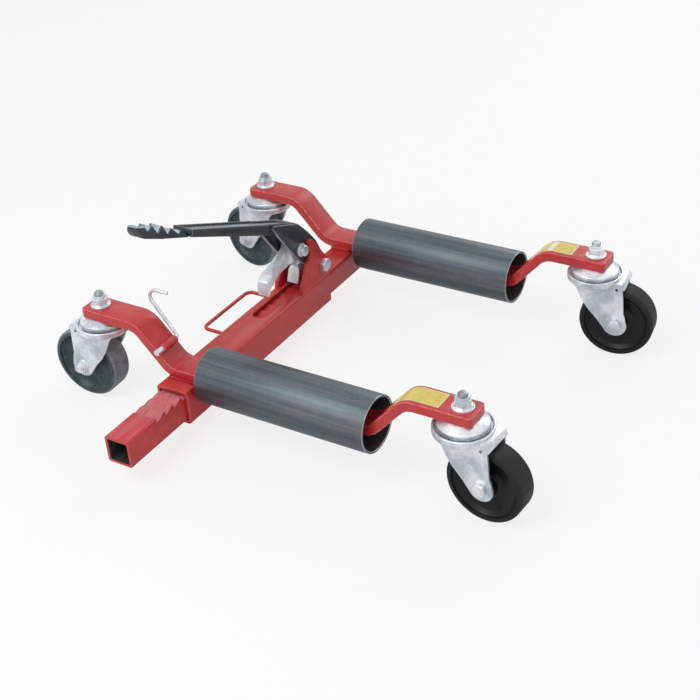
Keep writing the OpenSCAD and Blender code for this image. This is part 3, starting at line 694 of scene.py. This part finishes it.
@dataclass
class Bench:
    """Mesh work that the sub-assemblies share."""

    behaviour: dict[str, Any] = field(default_factory=lambda: frame["record"]["behaviour"])
    merge_distance: float = 1e-5
    flat_angle: float = 0.6
    sharp_angle: float = 28.0
    ripple_length: float = 0.85
    ripple: Rings = ((0.25, 0.9), (0.6, 1.08), (0.92, 0.76))
    ripple_swell: tuple[float, float] = (0.88, 1.12)
    bead_ends: tuple[float, float] = (0.35, 0.3)
    bead_sides: int = 12
    bead_smooth: float = 60.0
    fillet: Rings = ((0.0, 1.75), (0.25, 1.7), (0.6, 1.4), (1.0, 1.12), (1.15, 0.9))
    fillet_sides: int = 24
    fillet_uneven: float = 0.08
    fillet_smooth: float = 70.0

    def body(self, node: str) -> str:
        """Name of the body that holds a CAD node."""
        return next(b for b, nodes in self.behaviour["bodies"].items() if node in nodes)

    @staticmethod
    def only(piece: Piece) -> None:
        """Goes to object mode with one object selected and active.

        Args:
            piece: That object.
        """
        if bpy.context.object and bpy.context.object.mode != "OBJECT":
            bpy.ops.object.mode_set(mode="OBJECT")
        bpy.ops.object.select_all(action="DESELECT")
        bpy.context.view_layer.objects.active = piece
        piece.select_set(True)

    @staticmethod
    def open_mesh() -> None:
        """Goes to edit mode with all of the active piece's mesh selected."""
        bpy.ops.object.mode_set(mode="EDIT")
        bpy.ops.mesh.select_all(action="SELECT")

    def finish_with(self, piece: Piece, kind: str, **settings: Any) -> None:
        """Adds a modifier and applies it.

        Args:
            piece: The piece.
            kind: The modifier's type.
            settings: The modifier's properties by name.
        """
        self.only(piece)
        modifier = piece.modifiers.new(kind.lower(), kind)
        for key, value in settings.items():
            setattr(modifier, key, value)
        bpy.ops.object.modifier_apply(modifier=modifier.name)

    def settle(self, piece: Piece, angle: float = 35.0) -> None:
        """Puts a piece's place into its mesh, turns its faces outwards and smooths it.

        Args:
            piece: The piece.
            angle: Edges up to this many degrees are smoothed.
        """
        self.only(piece)
        bpy.ops.object.transform_apply(location=True, rotation=True, scale=True)
        self.open_mesh()
        bpy.ops.mesh.normals_make_consistent(inside=False)
        bpy.ops.object.mode_set(mode="OBJECT")
        bpy.ops.object.shade_smooth_by_angle(angle=math.radians(angle))

    def dress(self, nodes: Iterable[str], finish: Material) -> None:
        """Gives CAD nodes whose shape is right their finish.

        Args:
            nodes: The CAD nodes.
            finish: Their material.
        """
        for node in nodes:
            mesh = frame["nodes"][node].data
            mesh.materials.clear()
            mesh.materials.append(finish)
            LOG.info("%s keeps its CAD shape", node)

    @staticmethod
    def coat(
        piece: Piece,
        finish: Material,
        wanted: FaceTest,
    ) -> None:
        """Gives some faces of a piece another finish.

        Args:
            piece: The piece.
            finish: The other material.
            wanted: Tells by a face's centre and normal whether the face gets it.
        """
        piece.data.materials.append(finish)
        for face in piece.data.polygons:
            if wanted(face.center, face.normal):
                face.material_index = len(piece.data.materials) - 1

    def carry(self, piece: Piece, node: str) -> None:
        """Lets a new piece ride with a CAD node.

        Args:
            piece: The new piece.
            node: A CAD node of the body that it rides on.
        """
        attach(piece, self.body(node))
        LOG.info("%s rides with %s", piece.name, node)

    def weld_on(self, weld: Piece, node: str) -> None:
        """Paints a weld and lets it ride with the CAD node that it is laid on."""
        weld.data.materials.append(Finish.RED_BEAD.material)
        self.carry(weld, node)

    def soften(
        self,
        node: str,
        finish: Material,
        width: float,
        edge: Material | None = None,
        segments: int = 2,
    ) -> Piece:
        """Replaces a CAD node by a copy of it whose edges are rounded.

        Args:
            node: The CAD node.
            finish: Material of its faces.
            width: Width of the rounding.
            edge: Material of the rounded edges, or none for the same.
            segments: Faces across each rounding.

        Returns:
            The new piece.
        """
        source = frame["nodes"][node]
        piece = bpy.data.objects.new(node + "_shaped", source.data.copy())
        bpy.context.scene.collection.objects.link(piece)
        self.only(piece)
        self.open_mesh()
        bpy.ops.mesh.remove_doubles(threshold=self.merge_distance)
        bpy.ops.mesh.dissolve_limited(angle_limit=math.radians(self.flat_angle))
        bpy.ops.mesh.normals_make_consistent(inside=False)
        bpy.ops.object.mode_set(mode="OBJECT")
        piece.data.materials.clear()
        piece.data.materials.append(finish)
        if edge:
            piece.data.materials.append(edge)
        self.finish_with(
            piece, "BEVEL", width=width, segments=segments, limit_method="ANGLE",
            angle_limit=math.radians(self.sharp_angle), use_clamp_overlap=True,
            material=1 if edge else -1, miter_outer="MITER_ARC", loop_slide=True,
        )
        self.settle(piece)
        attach(piece, self.body(node))
        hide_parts(node)
        LOG.info("%s replaces %s", piece.name, node)
        return piece

    def ring_rod(
        self,
        name: str,
        start: Vector,
        direction: Vector,
        rings: Rings,
        sides: int,
    ) -> Piece:
        """A round rod of changing radius, extruded ring by ring.

        Args:
            name: Name of the piece.
            start: Centre of the first ring.
            direction: Which way it grows.
            rings: Distance from the start and radius of each ring, the distance rising.
            sides: Corners of each ring.

        Returns:
            The rod, closed at both ends.
        """
        along = direction.normalized()
        turn = along.to_track_quat("Z", "Y").to_euler()
        distance, radius = rings[0]
        bpy.ops.object.select_all(action="DESELECT")
        bpy.ops.mesh.primitive_circle_add(
            vertices=sides, radius=radius, fill_type="NGON",
            location=start + along * distance, rotation=turn,
        )
        rod = bpy.context.object
        rod.name = name
        self.open_mesh()
        for (before, r0), (after, r1) in zip(rings, rings[1:]):
            bpy.ops.mesh.extrude_region_move(
                TRANSFORM_OT_translate={"value": along * (after - before)}
            )
            bpy.ops.transform.resize(
                value=(r1 / r0,) * 3, center_override=start + along * after
            )
        bpy.ops.object.mode_set(mode="OBJECT")
        return rod

    def bead(
        self, name: str, start: Vector, end: Vector, radius: float, seed: int, node: str
    ) -> None:
        """Lays a weld bead by hand: overlapping ripples along a line.

        Args:
            name: Name of the piece.
            start: Where it starts.
            end: Where it ends.
            radius: Mean radius of the bead.
            seed: Seed of its unevenness.
            node: The CAD node that carries it.
        """
        draw = random.Random(seed)
        span = end - start
        first, last = self.bead_ends
        ripples = max(3, round(span.length / (radius * self.ripple_length)))
        step = span.length / ripples
        rings = [(0.0, radius * first)]
        for i in range(ripples):
            swell = radius * draw.uniform(*self.ripple_swell)
            rings += [(step * (i + along), swell * share) for along, share in self.ripple]
        rings.append((span.length, radius * last))
        bead = self.ring_rod(name, start, span, rings, self.bead_sides)
        self.settle(bead, self.bead_smooth)
        self.weld_on(bead, node)

    def collar(
        self, name: str, start: Vector, direction: Vector, rod: float, seed: int, node: str
    ) -> None:
        """Lays a fillet weld round the foot of a rod, uneven all round.

        Args:
            name: Name of the piece.
            start: Where the rod's axis meets the plate.
            direction: Away from the plate.
            rod: Radius of the rod.
            seed: Seed of its unevenness.
            node: The CAD node that carries it.
        """
        rings = [(rod * along, rod * share) for along, share in self.fillet]
        weld = self.ring_rod(name, start, direction, rings, self.fillet_sides)
        self.only(weld)
        self.open_mesh()
        bpy.ops.transform.vertex_random(offset=rod * self.fillet_uneven, seed=seed)
        bpy.ops.object.mode_set(mode="OBJECT")
        self.settle(weld, self.fillet_smooth)
        self.weld_on(weld, node)


BENCH = Bench()


# ---- sub-assemblies ----


@dataclass(frozen=True)
class Lamp:
    """A square soft lamp that points at the middle of the object."""

    name: str
    place: Triple
    size: float
    power: float
    aim_height: float = 0.08

    def build(self) -> None:
        """Hangs the lamp."""
        light = bpy.data.lights.new(self.name, "AREA")
        light.shape = "SQUARE"
        light.size = self.size
        light.energy = self.power
        holder = bpy.data.objects.new(self.name, light)
        bpy.context.scene.collection.objects.link(holder)
        holder.location = self.place
        aim = Vector((0.0, 0.0, self.aim_height)) - Vector(self.place)
        holder.rotation_euler = aim.to_track_quat("-Z", "Y").to_euler()


@dataclass
class Studio:
    """Pale floor, soft light and the camera at the photograph's angle."""

    camera_place: Triple = (0.80873, -1.26339, 1.0046)
    azimuth: float = 33.7786
    elevation: float = 32.7195
    roll: float = -4.6667
    lens: float = 68.23
    sensor: float = 36.0
    farthest: float = 60.0
    floor_size: float = 30.0
    soft_strength: float = 0.5
    soft_colour: Colour = (0.97, 0.98, 1.0)
    lamps: tuple[Lamp, ...] = (
        Lamp("key", (-0.6, -1.5, 2.1), 1.5, 25.0),
        Lamp("fill", (1.9, -0.6, 1.6), 1.6, 3.5),
        Lamp("rim", (0.2, 2.2, 1.7), 1.4, 12.0),
    )

    def build(self) -> None:
        """Makes floor, world, lamps and camera."""
        self._floor()
        self._world()
        for lamp in self.lamps:
            lamp.build()
        self._camera()

    def _floor(self) -> None:
        """Lays the floor, a plane that is only staging."""
        bpy.ops.object.select_all(action="DESELECT")
        bpy.ops.mesh.primitive_plane_add(size=self.floor_size, location=(0.0, 0.0, 0.0))
        floor = bpy.context.object
        floor.name = "floor"
        floor.data.materials.append(PaleFloor().make())

    def _world(self) -> None:
        """White background for the camera and gloss, and a softer level for the rest."""
        g = Graph("studio", "worlds")
        camera, gloss, glass = (
            g.node("LightPath", output=f"Is {kind} Ray")
            for kind in ("Camera", "Glossy", "Transmission")
        )
        clear = camera.math("MAXIMUM", gloss).math("MAXIMUM", glass)
        soft = g.node("Background", None,
                      {"Strength": self.soft_strength, "Color": self.soft_colour})
        white = g.node("Background", None, {"Color": (1.0, 1.0, 1.0)})
        mixed = g.node("MixShader", None, {0: clear, 1: soft, 2: white})
        bpy.context.scene.world = g.close(mixed, "OutputWorld")

    def _camera(self) -> None:
        """Sets the camera where the photograph was taken from."""
        a, e, r = (math.radians(v) for v in (self.azimuth, self.elevation, self.roll))
        back = Vector((math.sin(a) * math.cos(e), -math.cos(a) * math.cos(e), math.sin(e)))
        right = Vector((math.cos(a), math.sin(a), 0.0))
        up = back.cross(right)
        side = right * math.cos(r) + up * math.sin(r)
        top = up * math.cos(r) - right * math.sin(r)
        lens = bpy.data.cameras.new("camera")
        lens.sensor_width = self.sensor
        lens.lens = self.lens
        lens.clip_end = self.farthest
        camera = bpy.data.objects.new("camera", lens)
        bpy.context.scene.collection.objects.link(camera)
        turn = Matrix((side, top, back)).transposed().to_4x4()
        camera.matrix_world = Matrix.Translation(self.camera_place) @ turn
        bpy.context.scene.camera = camera


@dataclass
class Beam:
    """The telescoping beam: outer tube with its slot, inner tube with its rack."""

    edge: float = 0.0006
    square_to: float = 0.99
    tooth_tilt: tuple[float, float] = (0.9, 0.985)
    sideways: float = 0.01
    wall_slack: float = 0.0003
    bead_radius: float = 0.0029
    bead_lift: float = 0.0008
    bead_gap: float = 0.001
    bead_left: float = 0.019
    bead_right: float = 0.022
    pad_bead_radius: float = 0.0016
    pad_bead_x: float = 0.0152
    pad_bead_half: float = 0.016
    pad_bead_drop: float = 0.0046
    arm_seed: int = 3
    pad_seed: int = 8

    def build(self) -> None:
        """Dresses both tubes and lays the welds of the front arm and the pad."""
        red, worn = Finish.RED.material, Finish.RED_EDGE.material
        outer = BENCH.soften("outer_tube", red, self.edge, worn)
        inner = BENCH.soften("inner_tube", red, self.edge, worn)
        # Painted shade: the inner walls of both tubes get the near-black hollow finish.
        self._shade_hollow(outer, PLAN.outer_hollow)
        self._shade_hollow(inner, PLAN.inner_hollow)
        BENCH.coat(inner, Finish.RED_STREAKED.material,
                   lambda at, n: n.z > self.square_to and at.y < PLAN.front_y)
        least, most = self.tooth_tilt
        BENCH.coat(inner, Finish.RED_RUBBED.material,
                   lambda at, n: least < n.z < most and abs(n.x) < self.sideways
                   and at.y < PLAN.front_y)
        rack = BENCH.soften("rack_bar", worn, PLAN.fine_edge)
        # Painted shade: the rack's underside and front end, inside the tube, get the
        # near-black hollow finish.
        BENCH.coat(rack, Finish.INSIDE.material,
                   lambda at, n: n.z < -0.5 or n.y < -self.square_to)
        BENCH.soften("rear_arm_pad", red, PLAN.small_edge)
        self._arm_welds()

    def _shade_hollow(self, tube: Piece, half: float) -> None:
        """Paints the inner walls of a tube near black: bare steel darkened as painted shade.

        Args:
            tube: The dressed tube.
            half: Half the width of its hollow.
        """
        middle = Vector((PLAN.beam_x, 0.0, PLAN.beam_top - PLAN.outer_half))

        def is_inner_wall(at: Vector, normal: Vector) -> bool:
            """Whether a face lies in the hollow and looks at its middle."""
            off = at - middle
            return (off.x * normal.x + off.z * normal.z < 0.0 and abs(normal.y) < 0.5
                    and max(abs(off.x), abs(off.z)) < half + self.wall_slack)

        BENCH.coat(tube, Finish.INSIDE.material, is_inner_wall)

    def _arm_welds(self) -> None:
        """Beads along both edges of the front arm on the tube, and beside the pad."""
        x, z = PLAN.beam_x, PLAN.beam_top + self.bead_lift
        for place, side in (("front", -1), ("rear", 1)):
            y = PLAN.front_y + side * (PLAN.arm_half + self.bead_gap)
            BENCH.bead(
                f"front_arm_weld_{place}", Vector((x - self.bead_left, y, z)),
                Vector((x + self.bead_right, y, z)), self.bead_radius,
                self.arm_seed + side, "outer_tube",
            )
        middle = Vector((x, PLAN.rear_y, PLAN.beam_top - self.pad_bead_drop))
        reach = Vector((0.0, self.pad_bead_half, 0.0))
        for place, side in (("left", -1), ("right", 1)):
            at = middle + Vector((side * self.pad_bead_x, 0.0, 0.0))
            BENCH.bead(f"pad_weld_{place}", at - reach, at + reach, self.pad_bead_radius,
                       self.pad_seed + side, "inner_tube")


@dataclass
class Film:
    """Plain film on top of a right-hand arm, which follows the bend down the slope."""

    end: str
    arm_y: float
    right_x: float
    low_y: float
    high_y: float
    has_pale_patch: bool
    border: float = 0.0013
    first_square: float = 0.001
    smooth: float = 40.0
    lift: float = 0.0002
    thickness: float = 0.00015
    down_slope: float = 0.017
    bend_steps: int = 8
    patch_from: float = 0.011
    patch_to: float = 0.003

    def path(self) -> list[Vector]:
        """Follows the arm from the film's right end over the bend and down.

        Returns:
            Points on the way, at Y = 0.
        """
        top = PLAN.bend_z + PLAN.bend_radius + self.lift
        points = [Vector((self.right_x, 0.0, top)),
                  Vector((self.right_x - self.border, 0.0, top))]
        reach = PLAN.bend_radius + self.lift
        for step in range(self.bend_steps + 1):
            angle = PLAN.arm_slope * step / self.bend_steps
            points.append(Vector((PLAN.bend_x - reach * math.sin(angle), 0.0,
                                  PLAN.bend_z + reach * math.cos(angle))))
        down = Vector((-math.cos(PLAN.arm_slope), 0.0, -math.sin(PLAN.arm_slope)))
        for stretch in (self.down_slope, self.border):
            points.append(points[-1] + down * stretch)
        return points

    def build(self) -> None:
        """Extrudes the film along its path and colours its border and pale patch."""
        points = self.path()
        bpy.ops.object.select_all(action="DESELECT")
        bpy.ops.mesh.primitive_plane_add(
            size=self.first_square,
            location=points[0] + Vector((0.0, self.arm_y + self.low_y, 0.0)),
        )
        film = bpy.context.object
        film.name = f"{self.end}_film"
        BENCH.open_mesh()
        bpy.ops.mesh.merge(type="CENTER")
        inner_half = (self.high_y - self.low_y) / 2 - self.border
        for step in (self.border, inner_half, inner_half, self.border):
            bpy.ops.mesh.extrude_region_move(
                TRANSFORM_OT_translate={"value": (0.0, step, 0.0)}
            )
        bpy.ops.mesh.select_all(action="SELECT")
        for before, after in zip(points, points[1:]):
            bpy.ops.mesh.extrude_region_move(
                TRANSFORM_OT_translate={"value": after - before}
            )
        bpy.ops.object.mode_set(mode="OBJECT")
        BENCH.settle(film, self.smooth)
        BENCH.finish_with(film, "SOLIDIFY", thickness=self.thickness, offset=0.0)
        film.data.materials.append(Finish.FILM.material)
        if self.has_pale_patch:
            BENCH.coat(film, Finish.FILM_PALE.material, self._is_pale)
        BENCH.coat(film, Finish.FILM_EDGE.material, self._is_border)
        BENCH.carry(film, f"{self.end}_arm_outer")

    def _is_pale(self, at: Vector, normal: Vector) -> bool:
        """Whether a face lies in the pale patch over the bend."""
        return PLAN.bend_x - self.patch_from < at.x < PLAN.bend_x - self.patch_to

    def _is_border(self, at: Vector, normal: Vector) -> bool:
        """Whether a face lies in the border."""
        y = at.y - self.arm_y
        return (y < self.low_y + self.border or y > self.high_y - self.border
                or at.x > self.right_x - self.border)


@dataclass
class Arms:
    """The bent flat bars, with the plain films on the right-hand ones."""

    edge: float = 0.0011

    def build(self) -> None:
        """Dresses the four bars and the axles, and sticks the films on."""
        red, worn = Finish.RED.material, Finish.RED_EDGE.material
        for end in ("front", "rear"):
            for side in ("inner", "outer"):
                BENCH.soften(f"{end}_arm_{side}", red, self.edge, worn, 3)
        for node in ("front_axle", "rear_axle", "front_axle_collars", "rear_axle_collars"):
            BENCH.soften(node, Finish.SPRING.material, PLAN.fine_edge)
        Film("front", PLAN.front_y, right_x=0.2130, low_y=-0.0137, high_y=0.0153,
             has_pale_patch=False).build()
        Film("rear", PLAN.rear_y, right_x=0.2079, low_y=-0.0124, high_y=0.0167,
             has_pale_patch=True).build()


@dataclass
class Rollers:
    """The two steel rollers with their end bushes."""

    edge: float = 0.0005

    def build(self) -> None:
        """Dresses both rollers."""
        for end, y in (("front", PLAN.front_y), ("rear", PLAN.rear_y)):
            tube = BENCH.soften(f"{end}_roller", Finish.ROLLER.material, self.edge,
                                Finish.ZINC_EDGE.material)
            middle = Vector((0.0, y, PLAN.beam_top + PLAN.arm_thickness / 2))
            # Painted shade: the roller's bore gets the near-black hollow finish.
            BENCH.coat(tube, Finish.INSIDE.material,
                       lambda at, n: abs(n.x) < 0.5 and (at - middle).dot(n) < 0.0)
            BENCH.soften(f"{end}_roller_bushes", Finish.NYLON.material, PLAN.small_edge)


@dataclass
class Pedal:
    """Cheeks, lever and foot pad, with the pivot bolts.

    The facings are how far a face's normal leans to a direction, 1 being straight.
    """

    edge: float = 0.0007
    groove_facing: float = 0.95
    groove_depth: float = 0.002
    tread_facing: float = 0.25
    tip_facing: float = 0.93

    def build(self) -> None:
        """Dresses the pedal, with painted highlight on its groove floor, and wear with
        painted highlight on the cheeks' lower front faces, the tread and the tip.
        """
        black, worn = Finish.BLACK.material, Finish.BLACK_EDGE.material
        along = Vector((0.0, -math.cos(PLAN.lever_slope), math.sin(PLAN.lever_slope)))
        up = Vector((0.0, math.sin(PLAN.lever_slope), math.cos(PLAN.lever_slope)))
        pivot = Vector((0.0, PLAN.pivot_y, PLAN.pivot_z))
        floor = PLAN.lever_rise - self.groove_depth
        pieces = {
            node: BENCH.soften(node, black, self.edge, worn)
            for node in ("pedal_cheek_left", "pedal_cheek_right", "pedal_lever")
        }
        for cheek in ("pedal_cheek_left", "pedal_cheek_right"):
            # Wear and painted highlight on the cheeks' lower front faces.
            BENCH.coat(pieces[cheek], Finish.GROOVE.material,
                       lambda at, n: abs(n.x) < 0.2 and n.y < -0.3 and n.z < 0.0)
        # Painted highlight on the lever's groove floor.
        BENCH.coat(
            pieces["pedal_lever"], Finish.GROOVE.material,
            lambda at, n: n.dot(up) > self.groove_facing and (at - pivot).dot(up) < floor,
        )
        pad = BENCH.soften("foot_pad", black, PLAN.small_edge)
        # Wear and painted highlight on the toe-facing faces of the tread.
        BENCH.coat(pad, Finish.TREAD.material,
                   lambda at, n: min(n.dot(along), n.dot(up)) > self.tread_facing)
        # Wear and painted highlight on the tip's up-facing faces.
        BENCH.coat(pad, Finish.TONGUE.material, lambda at, n: n.dot(up) > self.tip_facing)
        for node in ("pedal_pivot_bolt", "pedal_pivot_nut", "pawl_pivot_bolt",
                     "pawl_pivot_nut"):
            BENCH.soften(node, Finish.ZINC.material, PLAN.fine_edge)


@dataclass
class Ratchet:
    """Both pawls, their springs and the bracket plates."""

    edge: float = 0.0006
    foot_from: float = -0.056
    foot_to: float = 0.011
    foot_inset: float = 0.0009
    foot_drop: float = 0.0034
    bead_radius: float = 0.0016
    seed: int = 12

    def build(self) -> None:
        """Dresses the ratchet and welds the bracket plates down."""
        for node in ("drive_pawl", "holding_pawl"):
            BENCH.soften(node, Finish.CAST_ZINC.material, self.edge)
        for node, side in (("bracket_left", -1), ("bracket_right", 1)):
            BENCH.soften(node, Finish.RED.material, self.edge,
                         Finish.RED_EDGE.material)
            at = Vector((PLAN.beam_x + side * (PLAN.outer_half - self.foot_inset),
                         PLAN.pivot_y, PLAN.beam_top - self.foot_drop))
            BENCH.bead(f"{node}_weld", at + Vector((0.0, self.foot_from, 0.0)),
                       at + Vector((0.0, self.foot_to, 0.0)), self.bead_radius,
                       self.seed + side, node)
        BENCH.dress(["pedal_spring", "holding_pawl_spring", "drive_pawl_spring"],
                    Finish.SPRING.material)


@dataclass
class Fittings:
    """Carry handle and storage hook, with their welds."""

    handle_y: float = -0.0115
    handle_z: float = 0.0492
    handle_half: float = 0.055
    handle_rod: float = 0.0026
    boss_x: float = -0.02967
    boss_z: float = 0.10933
    boss_radius: float = 0.0055
    bead_sink: float = 0.001
    bead_off: float = 0.0034
    bead_half: float = 0.0122
    bead_radius: float = 0.0015
    boss_edge: float = 0.0005
    handle_seed: int = 20
    boss_seed: int = 30

    def build(self) -> None:
        """Dresses both and welds them on."""
        BENCH.soften("carry_handle", Finish.RED.material, PLAN.fine_edge)
        BENCH.soften("hook_boss", Finish.RED.material, self.boss_edge,
                     Finish.RED_EDGE.material)
        BENCH.soften("storage_hook", Finish.ZINC.material, PLAN.small_edge)
        for place, side in (("front", -1), ("rear", 1)):
            foot = Vector((PLAN.beam_x - PLAN.outer_half,
                           self.handle_y + side * self.handle_half, self.handle_z))
            BENCH.collar(f"handle_weld_{place}", foot, Vector((-1.0, 0.0, 0.0)),
                         self.handle_rod, self.handle_seed + side, "outer_tube")
        slope = Vector((-math.cos(PLAN.arm_slope), 0.0, math.sin(PLAN.arm_slope)))
        away = Vector((math.sin(PLAN.arm_slope), 0.0, math.cos(PLAN.arm_slope)))
        boss = Vector((PLAN.beam_x + self.boss_x, PLAN.front_y, self.boss_z))
        reach = Vector((0.0, self.bead_half, 0.0))
        for place, side in (("upper", 1), ("lower", -1)):
            at = (boss - away * (self.boss_radius - self.bead_sink)
                  + slope * (side * self.bead_off))
            BENCH.bead(f"boss_weld_{place}", at - reach, at + reach, self.bead_radius,
                       self.boss_seed + side, "hook_boss")


@dataclass(frozen=True)
class WheelTone:
    """Colours of a kind of wheel, and the record's material slot for it."""

    colour: Colour
    scuff: Colour
    haziness: float
    slot: str


class WheelKind(Enum):
    """The two kinds of wheel."""

    BLACK = WheelTone(rgb(19, 20, 21), rgb(46, 47, 48), 0.15, "wheel_black")
    GREY = WheelTone(rgb(54, 68, 71), rgb(164, 175, 180), 0.2, "wheel_grey")


@dataclass
class Caster:
    """One swivel caster, whose wheel trails its bolt at the swing's angle from X."""

    place: str
    bolt_x: float
    bolt_y: float
    swing: float
    kind: WheelKind
    trail: float = 0.033
    wheel_radius: float = 0.05

    def build(self) -> None:
        """Dresses fork, balls, wheel, sleeve and bolt."""
        angle = math.radians(self.swing)
        centre = (self.bolt_x + self.trail * math.cos(angle),
                  self.bolt_y + self.trail * math.sin(angle), self.wheel_radius)
        tone = self.kind.value
        axle = (-math.sin(angle), math.cos(angle), 0.0)
        wheel = MouldedWheel(f"wheel_{self.place}_moulding", tone.colour, tone.scuff,
                             centre, axle, self.wheel_radius, tone.haziness)
        zinc, fine = Finish.ZINC.material, PLAN.fine_edge
        BENCH.soften(f"fork_{self.place}", zinc, PLAN.small_edge)
        BENCH.soften(f"wheel_{self.place}", wheel.make(), fine)
        BENCH.soften(f"wheel_bolt_{self.place}", zinc, fine)
        BENCH.dress([f"balls_{self.place}"], Finish.BALL.material)
        BENCH.soften(f"sleeve_{self.place}", Finish.SPRING.material, fine)


@dataclass
class Casters:
    """The four casters with what fixes them to the arms."""

    swings: tuple[tuple[str, float], ...] = (
        ("front_right", -3.6), ("rear_right", 8.1),
        ("front_left", 182.6), ("rear_left", 171.0),
    )

    def build(self) -> None:
        """Builds each caster and dresses caps, bolts and nuts."""
        for place, swing in self.swings:
            y = PLAN.front_y if place.startswith("front") else PLAN.rear_y
            if place.endswith("right"):
                Caster(place, PLAN.right_bolt_x, y, swing, WheelKind.BLACK).build()
            else:
                Caster(place, PLAN.left_bolt_x, y, swing, WheelKind.GREY).build()
        for end in ("front", "rear"):
            for kind, finish in (("caps", Finish.ZINC), ("bolts", Finish.STUD),
                                 ("nuts", Finish.ZINC)):
                BENCH.soften(f"{end}_caster_{kind}", finish.material, PLAN.fine_edge)


def main() -> None:
    """Builds every sub-assembly in order."""
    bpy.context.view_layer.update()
    bpy.context.scene.view_settings.view_transform = "Standard"
    for part in (Studio(), Beam(), Arms(), Rollers(), Pedal(), Ratchet(), Fittings(),
                 Casters()):
        LOG.info("%s", type(part).__name__)
        part.build()


if __name__ == "__main__":
    main()
